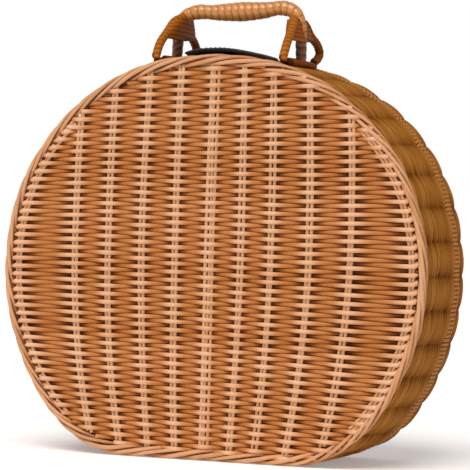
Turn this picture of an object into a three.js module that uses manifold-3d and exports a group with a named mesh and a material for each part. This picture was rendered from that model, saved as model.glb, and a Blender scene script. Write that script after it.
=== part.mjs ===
// A round wicker picnic case: two woven halves hinged at the bottom, with a lapped rim on each,
// a cane-wrapped handle on the deep half and a leather latch over the seam at the top.
// Millimetres, +Z up. X is the width, the deep half (the body) faces -Y and the lid faces +Y.
// The origin is under the middle of the case, on the surface it stands on.
import * as THREE from 'three';
import { mergeVertices } from 'three/addons/utils/BufferGeometryUtils.js';
import Module from 'manifold-3d';

// Outline of the case seen from the front: a flat base, then four arcs up to the crown.
// Each arc runs to the angle given, where 0 degrees points sideways and 90 degrees points up.
const FLAT_HALF = 73;
const CORNER_R = 96;
const CORNER_END = -35;
const SIDE_R = 209;
const SIDE_END = 17;
const SHOULDER_R = 170.5;
const SHOULDER_END = 80;
const ARC_STEP = 11;

// Depth of the case and of its two halves.
const CASE_DEPTH = 128;
const BODY_DEPTH = 96;
const FRONT_Y = -CASE_DEPTH / 2;
const BACK_Y = CASE_DEPTH / 2;
const SEAM_Y = FRONT_Y + BODY_DEPTH;

// Clearance left between neighbouring pieces.
const GAP = 0.3;

// Border rope on the corner between face and wall.
const BORDER = 12;
const BORDER_ROUND = 3.6;

// Woven face, set between the border's two sides.
const FACE_THICK = 8.4;
const FACE_INSET = 1.6;
const STAKE_COUNT = 9;
const STAKE_PITCH = 31;
const STAKE_WIDE = 6.4;
const STAKE_THICK = 3.2;
const EDGE_STAKE_WIDE = 4.4;
const EDGE_STAKE_FROM = -44;
const EDGE_STAKE_TO = 42;

// Woven wall and the lapped rim rod at its open edge.
const WALL_OUT = -2;
const WALL_IN = -8.5;
const RIM_ROD_R = 2.5;
const LAPPING_THICK = 0.9;
const LAPPING_R = RIM_ROD_R + GAP + LAPPING_THICK;
const LOOP_THICK = 1;
const RIM_LEVEL = LAPPING_R + GAP + LOOP_THICK;
const SEAM_GAP = 0.4;
const BODY_RIM_Y = SEAM_Y - SEAM_GAP / 2 - LAPPING_R;
const LID_RIM_Y = SEAM_Y + SEAM_GAP / 2 + LAPPING_R;

// Cane hinge loops round both rims.
const LOOP_X = 45;
const LOOP_WIDE = 10;
const NOTCH_WIDE = LOOP_WIDE + 3;

// Handle: a bow rod over the case, three legs a side, cane wrap and foot bindings.
const HANDLE_Y = -5;
const FOOT_X = 57;
const LEG_R = 3.6;
const BOW_R = 5;
const GRIP_TOP = 393;
const GRIP_R = 9;
const FRONT_LEG_Y = -57;
const BACK_LEG_REACH = 45;
const BINDING_HIGH = 4;
const BINDING_WIDE = 11;
const WEB_LOW = 358.5;
const WEB_HIGH = 377.5;

// Leather latch over the seam, a little left of the middle.
const LATCH_X = -6;
const LATCH_WIDE = 54;
const LEATHER = 1.6;
const LINING = 1.2;
const PATCH_FRONT_Y = -50;
const PATCH_BACK_Y = -22;
const FOLD_Y = 39;
const TAB_BACK_Y = 60;
const MAGNET_R = 7;
const RIVET_R = 2;
const RIVET_HEAD_R = 4.2;

const wasm = await Module();
wasm.setup();
const radians = THREE.MathUtils.degToRad;

// ---- colours and finishes ----

function finish(color, roughness, metalness = 0) {
  return new THREE.MeshStandardMaterial({ color, roughness, metalness });
}

const willow = () => finish(0xc58a50, 0.62);
const paleWillow = () => finish(0xd8a873, 0.6);
const wallWillow = () => finish(0x94682f, 0.62);
const cane = () => finish(0xb5702c, 0.45);
const blackLeather = () => finish(0x1c1a18, 0.5);
const steel = () => finish(0xb9b6ae, 0.3, 1);

// ---- the outline ----

function arcChain() {
  const corner = new THREE.Vector2(FLAT_HALF, CORNER_R);
  const side = centreAfter(corner, CORNER_R, SIDE_R, CORNER_END);
  const shoulder = centreAfter(side, SIDE_R, SHOULDER_R, SIDE_END);
  const crownRadius = SHOULDER_R + shoulder.x / Math.cos(radians(SHOULDER_END));
  const crown = centreAfter(shoulder, SHOULDER_R, crownRadius, SHOULDER_END);
  return [
    { centre: corner, radius: CORNER_R, from: -90, to: CORNER_END },
    { centre: side, radius: SIDE_R, from: CORNER_END, to: SIDE_END },
    { centre: shoulder, radius: SHOULDER_R, from: SIDE_END, to: SHOULDER_END },
    { centre: crown, radius: crownRadius, from: SHOULDER_END, to: 90 },
  ];
}

function centreAfter(centre, radius, nextRadius, angle) {
  const turn = radians(angle);
  const step = new THREE.Vector2(Math.cos(turn), Math.sin(turn)).multiplyScalar(radius - nextRadius);
  return centre.clone().add(step);
}

const ARCS = arcChain();
const CROWN = ARCS[3];
const HEIGHT = CROWN.centre.y + CROWN.radius;

// Points up the right-hand side, moved out by grow, between two angles.
function sidePoints(grow, from = -90, to = 90) {
  const points = [];
  for (const arc of ARCS) {
    const start = Math.max(arc.from, from);
    const end = Math.min(arc.to, to);
    if (end <= start) continue;
    const steps = Math.max(1, Math.round((end - start) / ARC_STEP));
    for (let i = points.length ? 1 : 0; i <= steps; i += 1) {
      const turn = radians(start + ((end - start) * i) / steps);
      const reach = arc.radius + grow;
      points.push(new THREE.Vector2(
        arc.centre.x + reach * Math.cos(turn),
        arc.centre.y + reach * Math.sin(turn),
      ));
    }
  }
  return points;
}

function outline(grow) {
  const right = sidePoints(grow);
  const left = right.slice(0, -1).reverse().map((p) => new THREE.Vector2(-p.x, p.y));
  return [...right, ...left];
}

// Height of the case's top above a place along the width, moved out by grow.
function topAt(x, grow) {
  const arc = ARCS.find((a) => a.to > 0 && Math.abs(x) >= a.centre.x + a.radius * Math.cos(radians(a.to)) - 0.001);
  const reach = arc.radius + grow;
  return arc.centre.y + Math.sqrt(reach * reach - (Math.abs(x) - arc.centre.x) ** 2);
}

function bottomAt(x, grow) {
  const past = Math.max(0, Math.abs(x) - FLAT_HALF);
  return CORNER_R - Math.sqrt((CORNER_R + grow) ** 2 - past * past);
}

// ---- solids ----

// Moves a solid drawn in the XY plane and raised along Z so that it lies in XZ from y0 towards +Y.
function faceOutwards(geometry, y0, depth) {
  geometry.rotateX(Math.PI / 2);
  geometry.translate(0, y0 + depth, 0);
  return geometry;
}

function slab(points, y0, depth, holes = [], round = 0) {
  const shape = new THREE.Shape(points);
  holes.forEach((hole) => shape.holes.push(new THREE.Path(hole)));
  const geometry = new THREE.ExtrudeGeometry(shape, {
    depth: depth - 2 * round,
    bevelEnabled: round > 0,
    bevelThickness: round,
    bevelSize: round,
    bevelOffset: -round,
    bevelSegments: 2,
  });
  geometry.translate(0, 0, round);
  return faceOutwards(geometry, y0, depth);
}

function ring(growOut, growIn, y0, depth, round = 0) {
  return slab(outline(growOut), y0, depth, [outline(growIn)], round);
}

function rod(points, radius, sides = 10, steps = 12) {
  const section = new THREE.Shape();
  for (let i = 0; i < sides; i += 1) {
    const turn = (2 * Math.PI * (i + 0.5)) / sides;
    const x = radius * Math.cos(turn);
    const y = radius * Math.sin(turn);
    if (i === 0) section.moveTo(x, y);
    else section.lineTo(x, y);
  }
  const path = new THREE.CatmullRomCurve3(points.map((p) => new THREE.Vector3(...p)));
  return new THREE.ExtrudeGeometry(section, { steps, extrudePath: path });
}

function box(x0, x1, y0, y1, z0, z1) {
  const geometry = new THREE.BoxGeometry(x1 - x0, y1 - y0, z1 - z0);
  geometry.translate((x0 + x1) / 2, (y0 + y1) / 2, (z0 + z1) / 2);
  return geometry;
}

function upright(radius, x, y, z0, z1, sides = 24) {
  const geometry = new THREE.CylinderGeometry(radius, radius, z1 - z0, sides);
  geometry.rotateX(Math.PI / 2);
  geometry.translate(x, y, (z0 + z1) / 2);
  return geometry;
}

function solid(geometry) {
  const bare = geometry.clone();
  bare.deleteAttribute('normal');
  bare.deleteAttribute('uv');
  const welded = mergeVertices(bare, 1e-4);
  return new wasm.Manifold(new wasm.Mesh({
    numProp: 3,
    vertProperties: new Float32Array(welded.attributes.position.array),
    triVerts: new Uint32Array(welded.index.array),
  }));
}

function geometryOf(manifold) {
  const mesh = manifold.getMesh();
  const geometry = new THREE.BufferGeometry();
  geometry.setAttribute('position', new THREE.BufferAttribute(new Float32Array(mesh.vertProperties), 3));
  geometry.setIndex(new THREE.BufferAttribute(new Uint32Array(mesh.triVerts), 1));
  return geometry;
}

function cut(geometry, cutters) {
  return geometryOf(cutters.reduce((rest, cutter) => rest.subtract(solid(cutter)), solid(geometry)));
}

const basket = new THREE.Group();

function piece(name, geometry, material) {
  const mesh = new THREE.Mesh(geometry, material);
  mesh.name = name;
  basket.add(mesh);
}

// ---- the two woven halves ----

// out is -1 for the body, whose face looks along -Y, and +1 for the lid.
function half(name, out) {
  const faceY = out < 0 ? FRONT_Y : BACK_Y;
  const rimY = out < 0 ? BODY_RIM_Y : LID_RIM_Y;
  const span = (near, far) => [Math.min(faceY - out * near, faceY - out * far), Math.abs(far - near)];

  piece(`${name}_border`, ring(0, -BORDER, ...span(0, BORDER), BORDER_ROUND), paleWillow());
  faceWeave(name, span);
  wall(name, out, faceY, rimY);
  rim(name, rimY);
}

function faceWeave(name, span) {
  const edge = -BORDER - GAP;
  const middle = FACE_INSET + FACE_THICK / 2;
  const channelHalf = STAKE_THICK / 2 + GAP;
  const stakes = [];
  const cutters = [];
  for (let i = 0; i < STAKE_COUNT; i += 1) {
    const x = (i - (STAKE_COUNT - 1) / 2) * STAKE_PITCH;
    const outer = Math.abs(x) + STAKE_WIDE / 2;
    const low = bottomAt(outer, edge) + 1;
    const high = topAt(outer, edge) - 1;
    const [y0, thick] = span(middle - STAKE_THICK / 2, middle + STAKE_THICK / 2);
    stakes.push([x, y0, thick, low, high]);
    const [c0, deep] = span(middle - channelHalf, middle + channelHalf);
    const wide = STAKE_WIDE / 2 + GAP;
    cutters.push(box(x - wide, x + wide, c0, c0 + deep, low - 40, high + 40));
  }
  for (const sideways of [-1, 1]) {
    const [c0, deep] = span(middle - channelHalf, middle + channelHalf);
    const reach = edge - EDGE_STAKE_WIDE - 2 * GAP;
    cutters.push(band(sideways, 2, reach, EDGE_STAKE_FROM - 0.5, EDGE_STAKE_TO + 0.5, c0, deep));
  }
  const [f0, depth] = span(FACE_INSET, FACE_INSET + FACE_THICK);
  piece(`${name}_face_weave`, cut(slab(outline(edge), f0, depth), cutters), willow());

  stakes.forEach(([x, y0, thick, low, high], i) => {
    const post = new THREE.ExtrudeGeometry(pill(STAKE_WIDE, thick), { depth: high - low, bevelEnabled: false });
    post.translate(x, y0 + thick / 2, low);
    piece(`${name}_stake_${i + 1}`, post, paleWillow());
  });
  for (const sideways of [-1, 1]) {
    const [y0, thick] = span(middle - STAKE_THICK / 2, middle + STAKE_THICK / 2);
    const from = edge - GAP;
    const curved = band(sideways, from, from - EDGE_STAKE_WIDE, EDGE_STAKE_FROM, EDGE_STAKE_TO, y0, thick);
    piece(`${name}_edge_stake_${sideways < 0 ? 'left' : 'right'}`, curved, paleWillow());
  }
}

// Two rods side by side, as one flattened section.
function pill(wide, thick) {
  const shape = new THREE.Shape();
  const r = thick / 2;
  shape.absarc(wide / 2 - r, 0, r, -Math.PI / 2, Math.PI / 2, false);
  shape.absarc(-wide / 2 + r, 0, r, Math.PI / 2, (3 * Math.PI) / 2, false);
  return new THREE.Shape(shape.getPoints(3));
}

// A strip that follows one side of the outline between two offsets and two angles.
function band(sideways, growOut, growIn, from, to, y0, depth) {
  const loop = [...sidePoints(growOut, from, to), ...sidePoints(growIn, from, to).reverse()];
  const points = sideways > 0 ? loop : loop.map((p) => new THREE.Vector2(-p.x, p.y)).reverse();
  return slab(points, y0, depth);
}

function wall(name, out, faceY, rimY) {
  const edge = faceY - out * (BORDER + GAP);
  const open = rimY + out * (LAPPING_R + GAP);
  const y0 = Math.min(edge, open);
  const depth = Math.abs(edge - open);
  const notchDeep = LOOP_THICK + 0.6;
  const notches = [-LOOP_X, LOOP_X].map((x) => {
    const inner = open + out * notchDeep;
    const outer = open - out;
    return box(x - NOTCH_WIDE / 2, x + NOTCH_WIDE / 2, Math.min(inner, outer), Math.max(inner, outer), -1, 12);
  });
  piece(`${name}_wall_weave`, cut(ring(WALL_OUT, WALL_IN, y0, depth), notches), wallWillow());
}

function rim(name, rimY) {
  const room = RIM_ROD_R + GAP;
  piece(`${name}_rim_rod`, roundRing(rimY, RIM_ROD_R), paleWillow());
  const slot = ring(-RIM_LEVEL - 1, -RIM_LEVEL - LAPPING_R - 1, rimY - 1, 2);
  piece(`${name}_rim_lapping`, cut(roundRing(rimY, LAPPING_R), [roundRing(rimY, room), slot]), cane());
}

// A rod of the radius given, bent round the whole outline at the level of the rims.
function roundRing(rimY, radius) {
  return ring(-RIM_LEVEL + radius, -RIM_LEVEL - radius, rimY - radius, 2 * radius, radius - 0.1);
}

half('body', -1);
half('lid', 1);

// ---- hinges ----

function hingeLoop(name, x) {
  const reach = (LID_RIM_Y - BODY_RIM_Y) / 2;
  const stadium = (radius) => {
    const path = new THREE.Shape();
    path.absarc(reach, 0, radius, -Math.PI / 2, Math.PI / 2, false);
    path.absarc(-reach, 0, radius, Math.PI / 2, (3 * Math.PI) / 2, false);
    return path.getPoints(8);
  };
  const shape = new THREE.Shape(stadium(LAPPING_R + GAP + LOOP_THICK));
  shape.holes.push(new THREE.Path(stadium(LAPPING_R + GAP)));
  const geometry = new THREE.ExtrudeGeometry(shape, { depth: LOOP_WIDE, bevelEnabled: false });
  geometry.rotateX(Math.PI / 2);
  geometry.rotateZ(Math.PI / 2);
  geometry.translate(x - LOOP_WIDE / 2, SEAM_Y, RIM_LEVEL);
  piece(name, geometry, cane());
}

hingeLoop('hinge_loop_left', -LOOP_X);
hingeLoop('hinge_loop_right', LOOP_X);

// ---- handle ----

const FOOT_TOP = topAt(FOOT_X, 0);

function bowPath() {
  const foot = FOOT_TOP + BINDING_HIGH + 4;
  const top = GRIP_TOP - GRIP_R;
  const rise = [[FOOT_X, foot], [FOOT_X - 1, foot + 14], [FOOT_X - 2.5, 370], [FOOT_X - 8, top - 4.5], [FOOT_X - 18, top]];
  const left = rise.map(([x, z]) => [-x, HANDLE_Y, z]);
  const right = rise.map(([x, z]) => [x, HANDLE_Y, z]).reverse();
  return [...left, [-20, HANDLE_Y, top], [20, HANDLE_Y, top], ...right];
}

// The back leg reaches out over the seam and hooks forward again to the body's rim.
function legPath(sideways, front) {
  const foot = FOOT_TOP + LEG_R;
  const top = [FOOT_X - 4, HANDLE_Y + (front ? -10 : 10), 380];
  const toFront = [top, [FOOT_X - 1.5, -28, 365.5], [FOOT_X, -47, 352.5], [FOOT_X, FRONT_LEG_Y, foot + 1]];
  const toBack = [
    top,
    [FOOT_X - 1.5, 20, 365.5],
    [FOOT_X, BACK_LEG_REACH - 6, foot + 16],
    [FOOT_X, BACK_LEG_REACH, foot + 9.5],
    [FOOT_X, BACK_LEG_REACH - 6, foot + 4.5],
    [FOOT_X, BODY_RIM_Y - 2, foot + 3],
  ];
  return (front ? toFront : toBack).map(([x, y, z]) => [sideways * x, y, z]);
}

// The rods, or with some growth the ways that they take through the wrap.
const bowRod = (grow) => rod(bowPath(), BOW_R + grow, 10, 28);
const legRod = (path, grow) => rod(path, LEG_R + grow, 8, 15);

function handle() {
  piece('handle_bow', bowRod(0), cane());
  piece('handle_grip_wrap', gripWrap(), cane());
  for (const [side, sideways] of [['left', -1], ['right', 1]]) {
    const front = legPath(sideways, true);
    const back = legPath(sideways, false);
    piece(`handle_${side}_front_leg`, legRod(front, 0), cane());
    piece(`handle_${side}_back_leg`, legRod(back, 0), cane());
    piece(`handle_${side}_leg_wrap`, legWrap(sideways, front, back), cane());
    piece(`handle_${side}_foot_binding`, footBinding(sideways), cane());
  }
}

// The grip is thickest in the middle and is hollow for the bow rod.
function gripWrap() {
  const reach = 36;
  const profile = [[BOW_R + 1.6, 0], [GRIP_R - 1.6, 0.25], [GRIP_R, 0.5], [GRIP_R - 1.6, 0.75], [BOW_R + 1.6, 1]];
  const inner = BOW_R + 2 * GAP;
  const wallLine = profile.map(([r, t]) => new THREE.Vector2(r, -reach + 2 * reach * t));
  const closed = [new THREE.Vector2(inner, -reach), ...wallLine, new THREE.Vector2(inner, reach)];
  const geometry = new THREE.LatheGeometry([...closed, closed[0]].map((p) => p.clone()), 14);
  geometry.rotateZ(Math.PI / 2);
  geometry.translate(0, HANDLE_Y, GRIP_TOP - GRIP_R);
  return geometry;
}

// Cane webbing that binds the tops of the three legs, with a way through it for each of them.
function legWrap(sideways, front, back) {
  const side = [
    new THREE.Vector2(HANDLE_Y - 16, WEB_HIGH),
    new THREE.Vector2(HANDLE_Y - 34, WEB_LOW),
    new THREE.Vector2(HANDLE_Y + 36, WEB_LOW),
    new THREE.Vector2(HANDLE_Y + 18, WEB_HIGH),
  ];
  const geometry = new THREE.ExtrudeGeometry(new THREE.Shape(side), { depth: 12, bevelEnabled: false });
  geometry.rotateX(Math.PI / 2);
  geometry.rotateZ(Math.PI / 2);
  geometry.translate(sideways * (FOOT_X - 2.2) - 6, 0, 0);
  return cut(geometry, [legRod(front, GAP), legRod(back, GAP), bowRod(GAP)]);
}

// Lashing along the top of the wall that ties the legs down.
function footBinding(sideways) {
  const wide = BINDING_WIDE / 2;
  const geometry = box(-wide, wide, FRONT_LEG_Y + 13, BODY_RIM_Y - LAPPING_R - 4, 0, BINDING_HIGH);
  const slope = Math.atan2(topAt(FOOT_X - wide, 0) - topAt(FOOT_X + wide, 0), 2 * wide);
  geometry.rotateY(sideways * slope);
  geometry.translate(sideways * FOOT_X, 0, FOOT_TOP + GAP);
  return geometry;
}

handle();

// ---- latch ----

// A piece of leather bent to the crown of the case, between two heights above the crown line.
function leather(x0, x1, y0, y1, low, high, steps = 8) {
  const at = (x, grow) => new THREE.Vector2(x, topAt(x, grow));
  const xs = Array.from({ length: steps + 1 }, (_, i) => x0 + ((x1 - x0) * i) / steps);
  const points = [...xs.map((x) => at(x, low)), ...xs.reverse().map((x) => at(x, high))];
  return slab(points, y0, y1 - y0);
}

function latch() {
  const x0 = LATCH_X - LATCH_WIDE / 2;
  const x1 = LATCH_X + LATCH_WIDE / 2;
  const patchLow = WALL_OUT + GAP;
  const patchHigh = patchLow + LEATHER;
  const liningLow = patchHigh + GAP;
  const liningHigh = liningLow + LINING;
  const flapLow = liningHigh + GAP;
  const flapHigh = flapLow + LEATHER;
  const magnetY = (PATCH_FRONT_Y + PATCH_BACK_Y) / 2;
  const crownZ = (grow) => topAt(LATCH_X, grow);
  const bore = (low, high) => upright(MAGNET_R + GAP, LATCH_X, magnetY, crownZ(low) - 3, crownZ(high) + 3);
  const disc = (low, high) => upright(MAGNET_R, LATCH_X, magnetY, crownZ(low) + 0.15, crownZ(high) - 0.15);

  const patch = leather(x0 + 8, x1 - 8, PATCH_FRONT_Y, PATCH_BACK_Y, patchLow, patchHigh);
  piece('latch_patch', cut(patch, [bore(patchLow, patchHigh)]), blackLeather());
  piece('latch_patch_magnet', disc(patchLow, patchHigh), steel());

  const lining = leather(x0 + 1, x1 - 1, PATCH_FRONT_Y - 1, FOLD_Y - 3, liningLow, liningHigh);
  piece('latch_flap_lining', cut(lining, [bore(liningLow, liningHigh)]), blackLeather());
  piece('latch_flap_magnet', disc(liningLow, liningHigh), steel());
  piece('latch_flap_leather', leather(x0, x1, PATCH_FRONT_Y - 2, FOLD_Y - GAP, flapLow, flapHigh), blackLeather());

  const tabLow = WALL_OUT + GAP;
  const tabHigh = tabLow + LEATHER + LINING;
  const tab = leather(x0, x1, FOLD_Y, TAB_BACK_Y - 8.4, tabLow, tabHigh);
  const rivets = [['left', LATCH_X - 15], ['right', LATCH_X + 15]];
  const rivetY = (FOLD_Y + TAB_BACK_Y - 8.4) / 2;
  piece('latch_tab', cut(tab, rivets.map(([, x]) => upright(RIVET_R + GAP, x, rivetY, HEIGHT - 20, HEIGHT + 20))), blackLeather());
  rivets.forEach(([side, x]) => {
    const head = topAt(x, tabHigh) + GAP;
    const lathe = [[0, -LEATHER - LINING - 1.4], [RIVET_R, -LEATHER - LINING - 1.4], [RIVET_R, 0]];
    const dome = [[RIVET_HEAD_R, 0], [RIVET_HEAD_R - 0.6, 1], [RIVET_HEAD_R - 2.2, 1.7], [0, 2]];
    const line = [...lathe, ...dome].map(([r, z]) => new THREE.Vector2(r, z));
    const rivet = new THREE.LatheGeometry(line, 16);
    rivet.rotateX(Math.PI / 2);
    rivet.translate(x, rivetY, head + 0.5);
    piece(`latch_rivet_${side}`, rivet, steel());
  });
}

latch();

export default basket;
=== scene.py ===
"""Round wicker picnic case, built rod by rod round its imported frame.

The scene is in metres. Lengths below are millimetres, multiplied by MM where a mesh is made.
"""

import functools
import math
import random

import bmesh
import bpy
import numpy as np
from mathutils import Matrix, Vector


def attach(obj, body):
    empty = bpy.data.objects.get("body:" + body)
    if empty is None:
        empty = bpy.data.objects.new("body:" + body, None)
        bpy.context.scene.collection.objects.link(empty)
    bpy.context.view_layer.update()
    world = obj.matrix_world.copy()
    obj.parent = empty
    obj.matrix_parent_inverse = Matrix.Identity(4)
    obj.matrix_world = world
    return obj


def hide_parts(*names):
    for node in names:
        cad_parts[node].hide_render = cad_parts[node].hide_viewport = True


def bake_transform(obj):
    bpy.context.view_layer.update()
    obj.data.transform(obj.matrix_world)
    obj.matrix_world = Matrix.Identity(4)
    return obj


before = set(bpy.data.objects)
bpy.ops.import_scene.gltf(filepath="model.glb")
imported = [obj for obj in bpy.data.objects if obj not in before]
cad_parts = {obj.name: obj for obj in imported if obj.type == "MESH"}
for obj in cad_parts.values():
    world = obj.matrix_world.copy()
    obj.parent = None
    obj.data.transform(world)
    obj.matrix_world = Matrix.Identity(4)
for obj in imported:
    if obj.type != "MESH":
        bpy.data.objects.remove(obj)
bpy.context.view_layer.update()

# ---------------------------------------------------------------------------------------------
# Stakes of the two round faces.
# Peeled willow rods, 3 mm thick, laid in pairs, three in the middle bundle. They are the warp
# of the face: their ends are tucked into the border, and two curved pairs follow its sides.
# ---------------------------------------------------------------------------------------------
MM = 0.001

# The outline of the case: a flat base, then arcs up to the crown. Radius, first and last angle.
FLAT_HALF = 73.0
ARC_SPANS = ((96.0, -90, -35), (209.0, -35, 17), (170.5, 17, 80))
ARC_STEPS = 40

FACE_Y = 58.2
STAKE_R = 1.55
STAKE_GAP = 3.15
STAKE_ROOM = 7.5
BUNDLE_X = (-125, -94.5, -63.2, -33.2, -1.6, 26.2, 53, 86.5, 123)
STAKE_MIDDLE_Z = 182.0
STAKE_SPREAD_DOWN = 0.085
STAKE_SPREAD_UP = 0.03
STAKE_SPREAD_RUN = 120
STAKE_FOOT_SHARE = 0.93
STAKE_SWAY = 0.4
STAKE_SWAY_RUN = 41
STAKE_POINTS = 40
EDGE_BUNDLE_IN = 12.8
EDGE_ROD_AWAY = 1.5
EDGE_BUNDLE_FROM = -49
EDGE_BUNDLE_TO = 46
HALVES = (("body", -1, "basket_body"), ("lid", 1, "basket_lid"))


def outline_arcs():
    """Centre, radius and end angles of each arc of the right-hand side, from the base to the crown."""
    arcs = []
    centre = Vector((FLAT_HALF, ARC_SPANS[0][0]))
    for radius, start, end in ARC_SPANS:
        turn = math.radians(start)
        if arcs:
            centre = centre + Vector((math.cos(turn), math.sin(turn))) * (arcs[-1][1] - radius)
        arcs.append((centre, radius, turn, math.radians(end)))
    turn = arcs[-1][3]
    crown_radius = arcs[-1][1] + centre.x / math.cos(turn)
    crown = Vector((0, centre.y - (crown_radius - arcs[-1][1]) * math.sin(turn)))
    return arcs + [(crown, crown_radius, turn, math.pi / 2)]


ARCS = outline_arcs()


@functools.lru_cache(maxsize=None)
def right_side(grow):
    """Rows of x, z and outward normal up the right-hand side of the outline, moved out by grow."""
    rows = [(0.0, -grow, 0.0, -1.0)]
    for centre, radius, start, end in ARCS:
        for turn in np.linspace(start, end, ARC_STEPS, endpoint=False):
            out = (math.cos(turn), math.sin(turn))
            rows.append((centre.x + (radius + grow) * out[0], centre.y + (radius + grow) * out[1], *out))
    crown, radius = ARCS[-1][:2]
    rows.append((0.0, crown.y + radius + grow, 0.0, 1.0))
    return np.array(rows)


def outline(grow, count):
    """The closed outline as evenly spaced rows of x, z and outward normal, and its length."""
    right = right_side(grow)
    left = right[-2::-1] * (-1, 1, -1, 1)
    loop = np.vstack((right, left))
    steps = np.linalg.norm(np.diff(loop[:, :2], axis=0), axis=1)
    run = np.concatenate(([0.0], np.cumsum(steps)))
    places = np.arange(count) * run[-1] / count
    return np.stack([np.interp(places, run, loop[:, i]) for i in range(4)], axis=1), run[-1]


def half_width(z, grow):
    side = right_side(grow)
    return np.interp(z, side[:, 1], side[:, 0])


def top_at(x, grow):
    side = right_side(grow)
    upper = side[side[:, 3] >= 0][::-1]
    return np.interp(np.abs(x), upper[:, 0], upper[:, 1])


def bottom_at(x, grow):
    side = right_side(grow)
    lower = side[side[:, 3] <= 0]
    return np.interp(np.abs(x), lower[:, 0], lower[:, 1])


def linear(hex_colour):
    """An sRGB colour such as c98a52 as linear red, green, blue and 1."""
    parts = [int(hex_colour[i:i + 2], 16) / 255 for i in (0, 2, 4)]
    return [p / 12.92 if p <= 0.04045 else ((p + 0.055) / 1.055) ** 2.4 for p in parts] + [1.0]


def add_node(tree, kind, settings, links=None):
    """Adds a shader node, sets its properties and socket values, and links its sockets."""
    node = tree.nodes.new(kind)
    for key, value in settings.items():
        if isinstance(key, str) and hasattr(node, key):
            setattr(node, key, value)
        else:
            node.inputs[key].default_value = value
    for key, source in (links or {}).items():
        tree.links.new(source, node.inputs[key])
    return node


def set_ramp(node, stops):
    """Puts (place, hex colour) stops on a colour ramp."""
    ramp = node.color_ramp
    while len(ramp.elements) < len(stops):
        ramp.elements.new(0.5)
    for element, (place, colour) in zip(ramp.elements, stops):
        element.position = place
        element.color = linear(colour)


def piece(name, mesh, material, body, nodes=()):
    """Links a finished mesh as one piece that rides on a body and stands for some CAD nodes."""
    mesh.name = name
    mesh.materials.append(material)
    made = bpy.data.objects.new(name, mesh)
    bpy.context.scene.collection.objects.link(made)
    if nodes:
        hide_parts(*nodes)
    if body:
        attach(made, body)
    return made


def store(mesh, name, kind, values):
    mesh.attributes.new(name, kind, "POINT")
    field = "vector" if kind == "FLOAT_VECTOR" else "value"
    mesh.attributes[name].data.foreach_set(field, np.asarray(values, np.float32).ravel())


GRAIN_APART = 517.0


def rods(name, lines, shades, closed=False, sides=8):
    """One mesh of round rods. Each line has rows of x, y, z, radius and painted shading, 0 to 1: 1 paints
    the rod lit, 0 paints it in shade.

    The mesh keeps, for its material, each rod's shade, its painted light and shade, and the grain's
    own coordinates: the distance along the rod and the place across it.
    starts far from the last one's, so that no two rods are streaked alike.
    """
    curve = bpy.data.curves.new(name, "CURVE")
    curve.dimensions = "3D"
    curve.bevel_depth = MM
    curve.bevel_resolution = sides // 2 - 2
    curve.use_fill_caps = True
    for line in lines:
        spline = curve.splines.new("POLY")
        spline.points.add(len(line) - 1)
        place = np.ones((len(line), 4))
        place[:, :3] = line[:, :3] * MM
        spline.points.foreach_set("co", place.ravel())
        spline.points.foreach_set("radius", line[:, 3].copy())
        spline.use_cyclic_u = closed
    holder = bpy.data.objects.new(name, curve)
    bpy.context.scene.collection.objects.link(holder)
    mesh = bpy.data.meshes.new_from_object(holder.evaluated_get(bpy.context.evaluated_depsgraph_get()))
    bpy.data.objects.remove(holder)
    bpy.data.curves.remove(curve)
    mesh.materials.clear()

    # A capped curve's mesh holds all the caps first, from the last rod back to the first.
    caps, rings = [], []
    for number, (line, shade) in enumerate(zip(lines, shades)):
        run = np.concatenate(([0.0], np.cumsum(np.linalg.norm(np.diff(line[:, :3], axis=0), axis=1))))
        shaded = np.full(len(line), shade)
        rows = np.stack((run + GRAIN_APART * number, line[:, 3], shaded, line[:, 4]), axis=1)
        caps.insert(0, rows[[-1, 0]])
        rings.append(rows)
    rows = np.vstack(rings if closed else caps + rings)
    turn = np.tile(2 * math.pi * np.arange(sides) / sides, len(rows))
    rows = np.repeat(rows, sides, axis=0)
    grain = np.stack((rows[:, 0], rows[:, 1] * np.cos(turn), rows[:, 1] * np.sin(turn)), axis=1)
    store(mesh, "grain", "FLOAT_VECTOR", grain * MM)
    store(mesh, "shade", "FLOAT", rows[:, 2])
    store(mesh, "painted_shading", "FLOAT", rows[:, 3])
    return tidy_mesh(mesh)


def tidy_mesh(mesh):
    """Closes the seams of a mesh and shades it smooth."""
    shape = bmesh.new()
    shape.from_mesh(mesh)
    bmesh.ops.remove_doubles(shape, verts=shape.verts, dist=0.002 * MM)
    for face in shape.faces:
        face.smooth = True
    shape.to_mesh(mesh)
    shape.free()
    return mesh


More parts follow.
